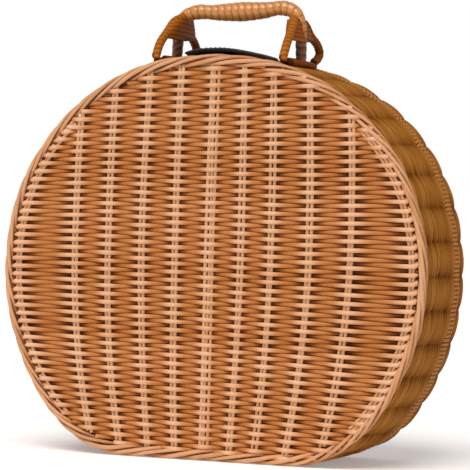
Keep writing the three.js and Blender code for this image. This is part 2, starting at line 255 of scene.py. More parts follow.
def willow(name, stops, roughness, gloss, weights=(0.34, 0.36, 0.26, 0.34), fibre=(0.045, 1.1)):
    """Peeled willow under thin lacquer, and with other shares split cane or thread.

    The fibres run along the rod as fine streaks, and one rod is paler than the next. The mesh
    also paints light and shade: paler where a rod crosses over a stake, as a highlight, and darker
    where it dips behind one, as shade. Weights are the shares of the rod's own shade, its streaks,
    its blotches and its painted light and shade. Fibre is the number of streaks per millimetre
    along and across the rod.
    """
    shade_share, streak_share, blotch_share, painted_shading_share = weights
    material = bpy.data.materials.new(name)
    material.use_nodes = True
    tree = material.node_tree
    shader = tree.nodes["Principled BSDF"]
    grain = add_node(tree, "ShaderNodeAttribute", {"attribute_name": "grain"})
    shade = add_node(tree, "ShaderNodeAttribute", {"attribute_name": "shade"})
    # Painted light and shade, set by the mesh: paler where a part should look lit, darker where it should
    # look shaded.
    painted_shading = add_node(tree, "ShaderNodeAttribute", {"attribute_name": "painted_shading"})
    place = add_node(tree, "ShaderNodeTexCoord", {})
    along, across = fibre[0] / MM, fibre[1] / MM
    stretched = add_node(tree, "ShaderNodeMapping", {"Scale": (along, across, across)},
                         {"Vector": grain.outputs["Vector"]})
    streaks = add_node(tree, "ShaderNodeTexNoise", {"Scale": 1.0, "Detail": 5.0, "Roughness": 0.65},
                       {"Vector": stretched.outputs["Vector"]})
    blotches = add_node(tree, "ShaderNodeTexNoise", {"Scale": 0.07 / MM, "Detail": 3.0},
                        {"Vector": place.outputs["Object"]})
    total = add_node(tree, "ShaderNodeMath", {"operation": "MULTIPLY", 1: shade_share},
                     {0: shade.outputs["Fac"]})
    for source, share in ((streaks.outputs["Fac"], streak_share), (blotches.outputs["Fac"], blotch_share),
                          (painted_shading.outputs["Fac"], painted_shading_share)):
        total = add_node(tree, "ShaderNodeMath", {"operation": "MULTIPLY_ADD", 1: share},
                         {0: source, 2: total.outputs[0]})
    colour = add_node(tree, "ShaderNodeValToRGB", {}, {"Fac": total.outputs[0]})
    set_ramp(colour, stops)
    tree.links.new(colour.outputs["Color"], shader.inputs["Base Color"])
    rough = add_node(tree, "ShaderNodeMapRange", {"To Min": roughness[0], "To Max": roughness[1]},
                     {"Value": streaks.outputs["Fac"]})
    tree.links.new(rough.outputs["Result"], shader.inputs["Roughness"])
    bump = add_node(tree, "ShaderNodeBump", {"Strength": 0.5, "Distance": 0.25 * MM},
                    {"Height": streaks.outputs["Fac"]})
    tree.links.new(bump.outputs["Normal"], shader.inputs["Normal"])
    shader.inputs["IOR"].default_value = 1.5
    shader.inputs["Specular IOR Level"].default_value = 0.05 + 0.3 * gloss
    shader.inputs["Coat Weight"].default_value = gloss
    shader.inputs["Coat Roughness"].default_value = 0.3
    return material


# Willow that was peeled white in spring and lacquered: the palest rods, with fine brown streaks.
PALE_STAKE = [(0.18, "8a5226"), (0.42, "c58e5a"), (0.62, "dba878"), (0.9, "eec69c")]
stake_willow = willow("pale_willow_stake", PALE_STAKE, (0.42, 0.62), 0.15)


def stake_x(middle_x, z):
    """The stakes spread a little at mid height and draw together towards the base and the top."""
    rise = (np.asarray(z) - STAKE_MIDDLE_Z) / STAKE_SPREAD_RUN
    spread = np.where(rise < 0, STAKE_SPREAD_DOWN, STAKE_SPREAD_UP)
    return middle_x * (1 - spread * rise * rise)


def stake_bundle(middle_x, face_y, count, chance):
    lines = []
    for i in range(count):
        aside = (i - (count - 1) / 2) * STAKE_GAP
        low = bottom_at(middle_x * STAKE_FOOT_SHARE + aside, -STAKE_ROOM)
        high = top_at(middle_x + aside, -STAKE_ROOM)
        z = np.linspace(low, high, STAKE_POINTS)
        sway = STAKE_SWAY * np.sin(z / STAKE_SWAY_RUN + chance.uniform(0, 6))
        line = np.zeros((len(z), 5))
        line[:, 0] = stake_x(middle_x, z) + aside + sway
        line[:, 1] = face_y
        line[:, 2] = z
        line[:, 3] = STAKE_R * chance.uniform(0.93, 1.07)
        line[:, 4] = 0.7
        lines.append(line)
    return lines


def edge_bundle(sideways, face_y, chance):
    lines = []
    for deep in (EDGE_BUNDLE_IN - EDGE_ROD_AWAY, EDGE_BUNDLE_IN + EDGE_ROD_AWAY):
        side = right_side(-deep)
        turn = np.degrees(np.arctan2(side[:, 3], side[:, 2]))
        side = side[(turn >= EDGE_BUNDLE_FROM) & (turn <= EDGE_BUNDLE_TO)]
        line = np.zeros((len(side), 5))
        line[:, 0] = sideways * side[:, 0]
        line[:, 1] = face_y
        line[:, 2] = side[:, 1]
        line[:, 3] = STAKE_R * chance.uniform(0.93, 1.05)
        line[:, 4] = 0.6
        lines.append(line)
    return lines


for half, out, body in HALVES:
    chance = random.Random(11 + out)
    for number, middle_x in enumerate(BUNDLE_X, 1):
        bundle = stake_bundle(middle_x, out * FACE_Y, 3 if number == 5 else 2, chance)
        shades = [chance.uniform(0.4, 1) for _ in bundle]
        piece(f"{half}_stake_{number}_rods", rods("stake", bundle, shades), stake_willow, body,
              [f"{half}_stake_{number}"])
    for side, sideways in (("left", -1), ("right", 1)):
        bundle = edge_bundle(sideways, out * FACE_Y, chance)
        shades = [chance.uniform(0.4, 0.9) for _ in bundle]
        piece(f"{half}_edge_stake_{side}_rods", rods("edge stake", bundle, shades), stake_willow, body,
              [f"{half}_edge_stake_{side}"])

# ---------------------------------------------------------------------------------------------
# Woven faces.
# Fine willow weavers worked over one stake bundle and under the next. Each weaver turns back
# round the edge bundle, so the rows are joined in pairs by small loops at the sides.
# ---------------------------------------------------------------------------------------------
ROW_PITCH = 3.56
WEAVER_R = 1.86
WEAVE_SWING = 2.9
FACE_LOW_Z = 8.5
FACE_HIGH_Z = 337.0
ROW_STEP = 3.9
TUCK_IN = 8.0
LOOP_REACH = 4.4
LID_LOOP_MORE = 1.2
LOOP_THICKER = 1.12
LOOP_Y = 59.6
ROW_TILT_LOW = -0.036
ROW_TILT_HIGH = 0.046
ROW_RIPPLE = 0.6
ROW_JITTER = 0.05

# A row skips the bundles that stand this close to its edge bundle. The short rows at the top and
# the base have no edge bundle, and reach a bundle that stands up to 12 mm past their ends.
CLEAR_OF_EDGE = 9
PAST_ROW_END = 12
BUNDLE_STEP = 31.0

# Willow boiled in its bark before it was peeled, and lacquered: warm brown. It is painted paler as a
# highlight where it crosses over a stake, and darker as shade in the hollows where it dips behind one.
BOILED_WEAVER = [(0.16, "4e2206"), (0.33, "a6622b"), (0.48, "c1824d"), (0.74, "e1b391")]
face_willow = willow("boiled_willow_weaver", BOILED_WEAVER, (0.4, 0.6), 0.12, (0.09, 0.27, 0.04, 0.5))


def swing(phase):
    """How a weaver bends from one side of the stakes to the other, from 1 to -1."""
    return 0.86 * np.cos(phase) + 0.14 * np.cos(3 * phase)


def row_height(x, start_z):
    """The rows climb a little to the right near the top and drop a little near the base."""
    share = min(1.0, max(0.0, (start_z - FACE_LOW_Z) / (FACE_HIGH_Z - FACE_LOW_Z)))
    tilt = ROW_TILT_LOW + (ROW_TILT_HIGH - ROW_TILT_LOW) * share ** 1.4
    ripple = 0.9 * np.sin(x / 43 + start_z / 61) + 0.5 * np.sin(x / 19 - start_z / 37)
    return start_z + tilt * x + ROW_RIPPLE * ripple


def bundle_places(z, has_edge):
    """Where this row crosses the stakes, as x and the bundle's number."""
    reach = half_width(z, -TUCK_IN)
    crossings = [(float(stake_x(x, z)), i + 1) for i, x in enumerate(BUNDLE_X)]
    edge = half_width(z, -EDGE_BUNDLE_IN)
    limit = edge - CLEAR_OF_EDGE if has_edge else reach + PAST_ROW_END
    kept = [c for c in crossings if abs(c[0]) < limit]
    if has_edge:
        kept = [(-edge, kept[0][1] - 1)] + kept + [(edge, kept[-1][1] + 1)]
    return kept, edge if has_edge else reach


def face_row(number, start_z, right_to_left, out):
    """One row as rows of x, y, z, radius and proud, and whether it ends in loops."""
    edge_low = ARCS[0][0].y - (ARCS[0][1] - EDGE_BUNDLE_IN) * math.sin(math.radians(-EDGE_BUNDLE_FROM))
    edge_high = ARCS[2][0].y + (ARCS[2][1] - EDGE_BUNDLE_IN) * math.sin(math.radians(EDGE_BUNDLE_TO))
    has_edge = edge_low < start_z < edge_high
    kept, reach = bundle_places(start_z, has_edge)
    x = np.linspace(-reach, reach, max(8, int(2 * reach / ROW_STEP)))
    places = np.array([c[0] for c in kept])
    numbers = np.array([c[1] for c in kept], float)
    steps = np.diff(places) if len(places) > 1 else [BUNDLE_STEP]
    places = np.concatenate(([places[0] - steps[0]], places, [places[-1] + steps[-1]]))
    numbers = np.concatenate(([numbers[0] - 1], numbers, [numbers[-1] + 1]))
    phase = math.pi * (np.interp(x, places, numbers) + number)
    line = np.zeros((len(x), 5))
    bend = swing(phase)
    line[:, 0] = x
    line[:, 1] = out * (FACE_Y + WEAVE_SWING * bend)
    line[:, 2] = row_height(x, start_z)
    line[:, 3] = WEAVER_R
    # Painted highlight on the crest over each stake, painted shade where the weaver dips behind one.
    line[:, 4] = np.where(bend > 0, 0.35 + 0.65 * np.abs(bend) ** 1.4, 0.35 * (1 + np.maximum(bend, -1)))
    if has_edge:
        loop_reach = LOOP_REACH + (LID_LOOP_MORE if out > 0 else 0)
        ends = []
        for end, sideways in ((0, -1), (-1, 1)):
            turn = np.linspace(0, math.pi / 2, 6)[1:]
            start = line[end]
            loop = np.tile(start, (len(turn), 1))
            side_y = start[1] - out * FACE_Y
            loop[:, 0] = start[0] + sideways * loop_reach * np.sin(turn)
            loop[:, 1] = out * LOOP_Y + side_y * np.cos(turn) ** 2 + out * (FACE_Y - LOOP_Y) * np.cos(turn)
            joined_above = (number % 2 == 0) == (sideways > 0)
            climb = ROW_PITCH / 2 if joined_above else -ROW_PITCH / 2
            loop[:, 2] = start[2] + climb * (1 - np.cos(turn)) ** 1.5
            loop[:, 3] *= LOOP_THICKER
            ends.append(loop)
        line = np.vstack((ends[0][::-1], line, ends[1]))
    return line[::-1] if right_to_left else line, has_edge


def face_weavers(out, chance):
    """Rows joined into weavers of a few rows each."""
    weavers, current = [], None
    count = int((FACE_HIGH_Z - FACE_LOW_Z) / ROW_PITCH)
    rows_left = 0
    for number in range(count):
        start_z = FACE_LOW_Z + number * ROW_PITCH + chance.uniform(-ROW_JITTER, ROW_JITTER)
        line, has_edge = face_row(number, start_z, number % 2 == 1, out)
        if current is not None and has_edge and rows_left > 0:
            current = np.vstack((current, line[1:]))
            rows_left -= 1
        else:
            if current is not None:
                weavers.append(current)
            current = line
            rows_left = chance.randint(1, 4) if has_edge else 0
    weavers.append(current)
    for weaver in weavers:
        thick = chance.uniform(0.98, 1.05)
        drift = np.linspace(0, chance.uniform(1, 4), len(weaver))
        weaver[:, 3] *= thick + 0.02 * np.sin(drift)
    return weavers


for half, out, body in HALVES:
    chance = random.Random(29 + out)
    weavers = face_weavers(out, chance)
    shades = [chance.betavariate(2, 2) for _ in weavers]
    piece(f"{half}_face_weavers", rods("face", weavers, shades), face_willow, body,
          [f"{half}_face_weave"])

# ---------------------------------------------------------------------------------------------
# Borders.
# The corner between face and wall is a rolled border: five pale rods twisted round a core. The
# rope is deeper along the wall than across the face, and widest over the top and the base.
# ---------------------------------------------------------------------------------------------
BORDER_IN = {"body": 0.1, "lid": 3.2}
BORDER_Y = 56.4
BORDER_STRANDS = 5
BORDER_TURNS = 10
BORDER_CORNER_IN = 2.2
BORDER_ACROSS = 2.0
BORDER_ACROSS_TOP = 1.7
BORDER_DEPTH = 5.2
BORDER_ROD_R = 1.6
BORDER_CORE_R = 1.9
BORDER_POINTS = 250

# Peeled willow, lacquered and a little tanned by handling. Each strand is painted paler on its face side,
# where light falls, and the core is painted dark as the shade in the gaps between strands.
TANNED_BORDER = [(0.15, "5a2c0e"), (0.4, "945a2e"), (0.62, "b47c4e"), (0.9, "d29e76")]
border_willow = willow("pale_willow_border", TANNED_BORDER, (0.4, 0.6), 0.15)


def waver(share, size, waves, chance):
    """A slow drift round the case, as hand work has."""
    return size * np.sin(2 * math.pi * (waves * share + chance.random()))


for half, out, body in HALVES:
    chance = random.Random(53 + out)
    centre = outline(-BORDER_IN[half], BORDER_POINTS)[0]
    across = BORDER_ACROSS + BORDER_ACROSS_TOP * centre[:, 3] ** 2
    middle = -(across + BORDER_ROD_R) - BORDER_CORNER_IN * (2 * centre[:, 2] * centre[:, 3]) ** 2
    share = np.arange(BORDER_POINTS) / BORDER_POINTS
    lines = []
    for strand in range(BORDER_STRANDS):
        wander = waver(share, 0.16, 7, chance)
        wander += waver(share, 0.09, 17, chance)
        turn = 2 * math.pi * (strand / BORDER_STRANDS + BORDER_TURNS * share) + wander
        reach = 1 + waver(share, 0.07, 5, chance)
        line = np.zeros((BORDER_POINTS, 5))
        outwards = middle + across * reach * np.cos(turn)
        line[:, 0] = centre[:, 0] + centre[:, 2] * outwards
        line[:, 1] = out * (BORDER_Y + BORDER_DEPTH * reach * np.sin(turn))
        line[:, 2] = centre[:, 1] + centre[:, 3] * outwards
        line[:, 3] = BORDER_ROD_R * (1 + waver(share, 0.12, 4, chance))
        # Painted light: paler on the strand's face side, darker where it turns away.
        line[:, 4] = 0.42 + 0.4 * np.sin(turn)
        lines.append(line)
    core = np.zeros((BORDER_POINTS, 5))
    core[:, 0] = centre[:, 0] + centre[:, 2] * middle
    core[:, 1] = out * BORDER_Y
    core[:, 2] = centre[:, 1] + centre[:, 3] * middle
    core[:, 3] = BORDER_CORE_R
    # The core shows only in the gaps between the strands, so it is painted darkest, as the shade in them.
    core[:, 4] = 0
    shades = [chance.uniform(0.25, 1) for _ in lines] + [0.1]
    piece(f"{half}_border_rods", rods("border", lines + [core], shades, closed=True), border_willow, body,
          [f"{half}_border"])

# ---------------------------------------------------------------------------------------------
# Woven walls.
# Browner, thinner weavers slewed round the case, from the border to the rim. They are pulled in
# at each pair of stakes and belly out between the pairs.
# ---------------------------------------------------------------------------------------------
WALL_IN = 4.5
WALL_STAKES = 40
WALL_ROW = 3.5
WALL_WEAVER_R = 1.76
WALL_BELLY = 2.3
WALL_SWING = 0.55
WALL_RIPPLE = 0.35
WALL_ROUND_FROM = 51.0
WALL_ROUND_RUN = 6.4
WALL_ROUND_IN = 3.0
WALL_BARREL = 2.6
WALL_BARREL_RUN = 71
WALL_TUCK = 2.0
WALL_TUCK_RUN = 7
WALL_POINTS = WALL_STAKES * 8
WALL_SPANS = {"body": (-51.0, 23.6), "lid": (41.6, 57.4)}
WALL_STAKE_IN = 2.4
WALL_STAKE_R = 1.45
INTO_BORDER = 4
INTO_RIM = 3.5

# Brown willow, steamed in its bark and oiled instead of lacquered: dull, with long streaks.
BROWN_WALL = [(0.2, "4a2708"), (0.38, "814c15"), (0.56, "9c6527"), (0.78, "b67f43")]
wall_willow = willow("brown_willow_wall", BROWN_WALL, (0.5, 0.68), 0.0, (0.26, 0.34, 0.12, 0.2))


def barrel(normal_z, y):
    """How far the walls swell outwards at the sides. The swelling grows from the front to the rims."""
    grown = min(1.0, max(0.0, (y - WALL_SPANS["body"][0]) / WALL_BARREL_RUN))
    return WALL_BARREL * (1 - normal_z ** 4) * grown ** 0.8


for half, out, body in HALVES:
    chance = random.Random(71 + out)
    low_y, high_y = WALL_SPANS[half]
    count = round((high_y - low_y) / WALL_ROW) + 1
    centre = outline(-WALL_IN, WALL_POINTS)[0]
    share = np.arange(WALL_POINTS) / WALL_POINTS
    lines = []
    for number in range(count):
        bend = swing(math.pi * (WALL_STAKES * share + number))
        belly = np.abs(np.sin(math.pi * WALL_STAKES * share)) ** 0.8
        row_y = low_y + (high_y - low_y) * number / (count - 1)
        rounded = WALL_ROUND_IN * max(0.0, (abs(row_y) - WALL_ROUND_FROM) / WALL_ROUND_RUN) ** 2
        tucked = WALL_TUCK * max(0.0, 1 - (row_y - low_y) / WALL_TUCK_RUN) if half == "lid" else 0.0
        outwards = WALL_BELLY * belly + WALL_SWING * bend - rounded - tucked + barrel(centre[:, 3], row_y)
        line = np.zeros((WALL_POINTS, 5))
        line[:, 0] = centre[:, 0] + centre[:, 2] * outwards
        line[:, 1] = row_y + waver(share, WALL_RIPPLE, 6, chance)
        line[:, 2] = centre[:, 1] + centre[:, 3] * outwards
        line[:, 3] = WALL_WEAVER_R * chance.uniform(0.95, 1.05)
        # Painted light: paler where the weavers belly out between stakes, painted shade where they are
        # pulled in.
        line[:, 4] = belly
        lines.append(line)
    shades = [chance.betavariate(2, 2) for _ in lines]
    weave = rods("wall", lines, shades, closed=True)
    piece(f"{half}_wall_weavers", weave, wall_willow, body, [f"{half}_wall_weave"])

    posts = []
    if half == "body":
        reach = (low_y - INTO_BORDER, high_y + INTO_RIM)
    else:
        reach = (low_y - INTO_RIM, high_y + INTO_BORDER)
    for x, z, out_x, out_z in outline(-WALL_IN - WALL_STAKE_IN, WALL_STAKES)[0]:
        for aside in (-STAKE_GAP / 2, STAKE_GAP / 2):
            post = np.zeros((6, 5))
            post[:, 0] = x - aside * out_z
            post[:, 1] = np.linspace(reach[0], reach[1], 6)
            post[:, 2] = z + aside * out_x
            post[:, 3] = WALL_STAKE_R
            post[:, 4] = 0.3
            posts.append(post)
    piece(f"{half}_wall_stakes", rods("wall stakes", posts, [chance.random() for _ in posts], sides=6),
          wall_willow, body)

# ---------------------------------------------------------------------------------------------
# Lapped rims.
# Each open edge is a 5 mm rod lashed to the top of the wall with flat split cane, wound edge to
# edge, so that it reads as a row of small stitches.
# ---------------------------------------------------------------------------------------------
RIM_IN = 4.2
RIM_RAISE = 1.3
RIM_Y = {"body": 28.1, "lid": 35.9}
RIM_R = 4.1
RIM_ROD_R = 2.5
RIM_POINTS = 400
LAP_PITCH = 3.7
LAP_DIP = 1.2
STRIP_DIP = 0.55
STRIP_LINE = ((0.0, -1.0), (0.1, -0.35), (0.3, -0.04), (0.5, 0.0), (0.7, -0.04), (0.9, -0.35), (1.0, -1.0))


def wound_strip(turns, pitch, radius, dip=STRIP_DIP, steps=12):
    """A straight sleeve along +X, made by winding one flat strip edge to edge."""
    shape = bmesh.new()
    corners = [shape.verts.new((pitch * t, 0.0, radius + dip * d)) for t, d in STRIP_LINE]
    edges = [shape.edges.new(pair) for pair in zip(corners, corners[1:])]
    bmesh.ops.spin(shape, geom=corners + edges, cent=(0, 0, 0), axis=(1, 0, 0), dvec=(pitch / steps, 0, 0),
                   angle=2 * math.pi, steps=steps, use_merge=False, use_duplicate=False)
    turn = bpy.data.meshes.new("one turn")
    shape.to_mesh(turn)
    holder = bpy.data.objects.new("one turn", turn)
    bpy.context.scene.collection.objects.link(holder)
    repeat = holder.modifiers.new("turns", "ARRAY")
    repeat.count = turns
    repeat.use_relative_offset = False
    repeat.use_constant_offset = True
    repeat.constant_offset_displace = (pitch, 0, 0)
    mesh = bpy.data.meshes.new_from_object(holder.evaluated_get(bpy.context.evaluated_depsgraph_get()))
    bpy.data.objects.remove(holder)
    shape.clear()
    shape.from_mesh(mesh)
    bmesh.ops.remove_doubles(shape, verts=shape.verts, dist=0.01)
    shape.to_mesh(mesh)
    shape.free()
    return mesh


def get_places(mesh):
    places = np.zeros(len(mesh.vertices) * 3)
    mesh.vertices.foreach_get("co", places)
    return places.reshape(-1, 3)


def lay_along(mesh, rows, scale=None, shade=0.5):
    """Bends a straight sleeve along a line. Rows hold a place and two square directions.

    Scale gives the sleeve's thickness along the line. The straight place is kept as the grain.
    """
    straight = get_places(mesh)
    radius = np.hypot(straight[:, 1], straight[:, 2])
    middle = np.clip((radius - radius.min()) / max(1e-6, radius.max() - radius.min()), 0, 1)
    store(mesh, "grain", "FLOAT_VECTOR", straight * MM)
    store(mesh, "shade", "FLOAT", np.full(len(straight), shade))
    # Painted light: each turn of the strip is paler in its middle and darker at its edges, in the shade
    # between turns.
    store(mesh, "painted_shading", "FLOAT", middle)
    run = np.concatenate(([0.0], np.cumsum(np.linalg.norm(np.diff(rows[:, :3], axis=0), axis=1))))
    at = np.clip(straight[:, 0], 0, None)
    at = at * run[-1] / at.max()
    line = np.stack([np.interp(at, run, rows[:, i]) for i in range(9)], axis=1)
    thick = np.ones(len(at)) if scale is None else np.interp(at / run[-1], scale[0], scale[1])
    bent = line[:, :3] + line[:, 3:6] * (straight[:, 1] * thick)[:, None]
    bent += line[:, 6:9] * (straight[:, 2] * thick)[:, None]
    mesh.vertices.foreach_set("co", (bent * MM).ravel())
    mesh.update()
    return tidy_mesh(mesh)


def close_ends(mesh):
    shape = bmesh.new()
    shape.from_mesh(mesh)
    bmesh.ops.holes_fill(shape, edges=[e for e in shape.edges if e.is_boundary], sides=0)
    bmesh.ops.recalc_face_normals(shape, faces=shape.faces)
    for face in shape.faces:
        face.smooth = True
    shape.to_mesh(mesh)
    shape.free()
    return mesh


# Rattan bark, split flat and lacquered: its streaks run along the strip, so round the rim. Each
# turn is painted palest in its middle as a highlight, and darker at its edges as the shade between turns.
SPLIT_CANE = [(0.1, "3c1c06"), (0.4, "754214"), (0.65, "975c22"), (0.85, "b97e40")]
CANE_FIBRE = (1.3, 0.06)
rim_cane = willow("split_cane_lapping", SPLIT_CANE, (0.34, 0.5), 0.1, (0.05, 0.25, 0.1, 0.6), CANE_FIBRE)

for half, out, body in HALVES:
    centre, length = outline(-RIM_IN, RIM_POINTS)
    swell = barrel(centre[:, 3], RIM_Y["body"]) - RIM_RAISE * np.clip(-centre[:, 3], 0, 1) ** 6
    centre[:, 0] += centre[:, 2] * swell
    centre[:, 1] += centre[:, 3] * swell
    centre = np.vstack((centre, centre[:1]))
    rows = np.zeros((len(centre), 9))
    rows[:, 0] = centre[:, 0]
    rows[:, 1] = RIM_Y[half]
    rows[:, 2] = centre[:, 1]
    rows[:, 3] = centre[:, 2]
    rows[:, 5] = centre[:, 3]
    rows[:, 7] = 1.0
    sleeve = wound_strip(round(length / LAP_PITCH), LAP_PITCH, RIM_R, LAP_DIP)
    lapping = close_ends(lay_along(sleeve, rows))
    piece(f"{half}_rim_wound_cane", lapping, rim_cane, body, [f"{half}_rim_lapping"])
    rod_line = np.zeros((RIM_POINTS, 5))
    rod_line[:, 0] = centre[:-1, 0]
    rod_line[:, 1] = RIM_Y[half]
    rod_line[:, 2] = centre[:-1, 1]
    rod_line[:, 3] = RIM_ROD_R
    rod_line[:, 4] = 0.5
    hoop = rods("rim rod", [rod_line], [0.5], closed=True)
    piece(f"{half}_rim_hoop", hoop, stake_willow, body, [f"{half}_rim_rod"])

# ---------------------------------------------------------------------------------------------
# Hinge loops.
# Two loops of the same split cane go round both rims at the base, and the rims turn in them.
# ---------------------------------------------------------------------------------------------
LOOP_X = 45.0
LOOP_ROOM = 4.55
LOOP_STRIPS = 3
LOOP_STRIP_WIDE = 3.3
LOOP_STRIP_R = 0.95
LOOP_STRIP_FLAT = 1.7

for side, sideways in (("left", -1), ("right", 1)):
    reach = (RIM_Y["lid"] - RIM_Y["body"]) / 2
    middle_y = (RIM_Y["lid"] + RIM_Y["body"]) / 2
    lines = []
    for strip in range(LOOP_STRIPS):
        line = []
        for turn in np.linspace(-math.pi / 2, math.pi / 2, 12):
            line.append((reach + LOOP_ROOM * math.cos(turn), LOOP_ROOM * math.sin(turn)))
        line += [(-y, -z) for y, z in line]
        line = np.array(line)
        full = np.zeros((len(line), 5))
        full[:, 0] = sideways * LOOP_X + (strip - 1) * LOOP_STRIP_WIDE
        full[:, 1] = middle_y + line[:, 0]
        full[:, 2] = RIM_IN + RIM_RAISE + line[:, 1]
        full[:, 3] = LOOP_STRIP_R
        full[:, 4] = 0.7
        lines.append(full)
    loop = rods("hinge loop", lines, [0.4, 0.7, 0.5], closed=True)
    places = get_places(loop)
    centre_x = np.round((places[:, 0] / MM - sideways * LOOP_X) / LOOP_STRIP_WIDE) * LOOP_STRIP_WIDE
    centre_x = (centre_x + sideways * LOOP_X) * MM
    places[:, 0] = centre_x + (places[:, 0] - centre_x) * LOOP_STRIP_FLAT
    loop.vertices.foreach_set("co", places.ravel())
    piece(f"hinge_loop_{side}_cane", loop, rim_cane, "basket_body", [f"hinge_loop_{side}"])

# ---------------------------------------------------------------------------------------------
# Handle.
# A thick bow rod stands on the middle of the wall. A front leg and a back leg spread from each
# shoulder to the border and the rim, and everything is wound with flat cane.
# ---------------------------------------------------------------------------------------------
HANDLE_Y = -5.0
FOOT_X = 57.0
FOOT_Z = float(top_at(FOOT_X, 0))
BOW_TOP = 382.8
BOW_RIGHT_HIGHER = 4.2
BOW_SHOULDER_DROP = 4.2
BOW_R = 5.6
BOW_PITCH = 6.6
LEG_R = 3.75
LEG_PITCH = 5.2
LEG_TOP = 379
LEG_DIP = 0.3
WEB_LOW = 357.5
WEB_HIGH = 379.0
WEB_PITCH = 4.4
WEB_THICK = 5.9
WEB_SLEEVE_R = 10.0
WEB_DIP = 0.35

# How far a web reaches forwards and back at its foot, and how much less at its top.
WEB_FRONT = (33, 20)
WEB_BACK = (36, 23)
LASHING_AWAY = 3.4
LASHING_R = 2.9
LASHING_PITCH = 4.2

# Split cane under thick varnish, worn smooth by hands: honey brown with a clear, wet shine.
VARNISHED_GRIP = [(0.2, "401c06"), (0.45, "84460f"), (0.6, "aa6627"), (0.8, "cc8a48")]
HANDLE_FIBRE = (1.1, 0.05)
grip_cane = willow("glossy_cane_grip", VARNISHED_GRIP, (0.2, 0.34), 0.8, (0.4, 0.2, 0.1, 0.25),
                   HANDLE_FIBRE)

# The same cane on the legs, where the varnish is thin and dull. Low shade values paint them darker, as the
# shade under the grip, and the front legs paler than the back ones, as lit and shaded copies.
DULL_SHADED_LEGS = [(0.1, "2e1403"), (0.4, "743a08"), (0.6, "975312"), (0.85, "bd7a32")]
leg_cane = willow("lacquered_cane_legs", DULL_SHADED_LEGS, (0.45, 0.62), 0.0, (0.35, 0.25, 0.12, 0.28),
                  HANDLE_FIBRE)


def smooth_line(points, spacing=1.5):
    """A smooth line through given points."""
    points = np.array(points, float)
    span = np.sqrt(np.linalg.norm(np.diff(points, axis=0), axis=1))
    time = np.concatenate(([0.0], np.cumsum(span)))
    slope = np.gradient(points, time, axis=0)
    line = []
    for i in range(len(points) - 1):
        long = np.linalg.norm(points[i + 1] - points[i])
        for s in np.linspace(0, 1, max(2, int(long / spacing)), endpoint=False):
            h = time[i + 1] - time[i]
            start, end = (1 + 2 * s) * (1 - s) ** 2, s * s * (3 - 2 * s)
            leave, arrive = s * (1 - s) ** 2 * h, s * s * (s - 1) * h
            line.append(start * points[i] + end * points[i + 1] + leave * slope[i] + arrive * slope[i + 1])
    line.append(points[-1])
    return np.array(line)


def line_rows(line, start_side):
    """A line with two square directions that turn with it and don't twist."""
    ahead = np.gradient(line, axis=0)
    ahead /= np.linalg.norm(ahead, axis=1)[:, None]
    side = np.array(start_side, float)
    rows = []
    for place, way in zip(line, ahead):
        side = side - way * side.dot(way)
        side /= np.linalg.norm(side)
        rows.append(np.concatenate((place, side, np.cross(way, side))))
    return np.array(rows)


def wound_rod(points, radius, pitch, scale=None, start_side=(0, 1, 0), dip=STRIP_DIP, shade=0.15):
    line = smooth_line(points)
    length = np.linalg.norm(np.diff(line, axis=0), axis=1).sum()
    sleeve = wound_strip(max(2, round(length / pitch)), pitch, radius, dip, steps=16)
    return close_ends(lay_along(sleeve, line_rows(line, start_side), scale, shade))


def join(meshes):
    shape = bmesh.new()
    for mesh in meshes:
        shape.from_mesh(mesh)
    joined = bpy.data.meshes.new("joined")
    shape.to_mesh(joined)
    shape.free()
    return joined


def right_rise(z):
    """The bow is bent a little higher at its right-hand end."""
    return BOW_RIGHT_HIGHER * min(1, max(0, (z - FOOT_Z - 10) / 20))


bow_side = [(FOOT_X, FOOT_Z - 2), (FOOT_X - 1, FOOT_Z + 22), (FOOT_X - 2, 369)]
bow_side += [(FOOT_X - 6.5, BOW_TOP - BOW_SHOULDER_DROP), (FOOT_X - 17, BOW_TOP)]
bow = [(-x, HANDLE_Y, z) for x, z in bow_side]
bow += [(-20, HANDLE_Y, BOW_TOP), (20, HANDLE_Y, BOW_TOP + 2.0)]
bow += [(x, HANDLE_Y, z + right_rise(z)) for x, z in reversed(bow_side)]

# The bow's thickness at shares of its length: thin feet, knots at the shoulders, a full grip.
thickness = ((0, 0.2, 0.3, 0.345, 0.4, 0.5, 0.6, 0.655, 0.7, 0.8, 1),
             (0.8, 0.95, 1.2, 1.12, 1.32, 1.55, 1.32, 1.12, 1.2, 0.95, 0.8))
bow_wrap = wound_rod(bow, BOW_R, BOW_PITCH, thickness, dip=0.5)
# Painted light: the bow is painted paler up at the lit grip and darker down its ends, in shade.
height = get_places(bow_wrap)[:, 2] / MM
paler_upwards = np.clip((height - 352) / 24, 0, 1)
bow_wrap.attributes["shade"].data.foreach_set("value", paler_upwards.astype(np.float32))
piece("handle_bow_wound_cane", bow_wrap, grip_cane, "basket_body",
      ["handle_bow", "handle_grip_wrap"])

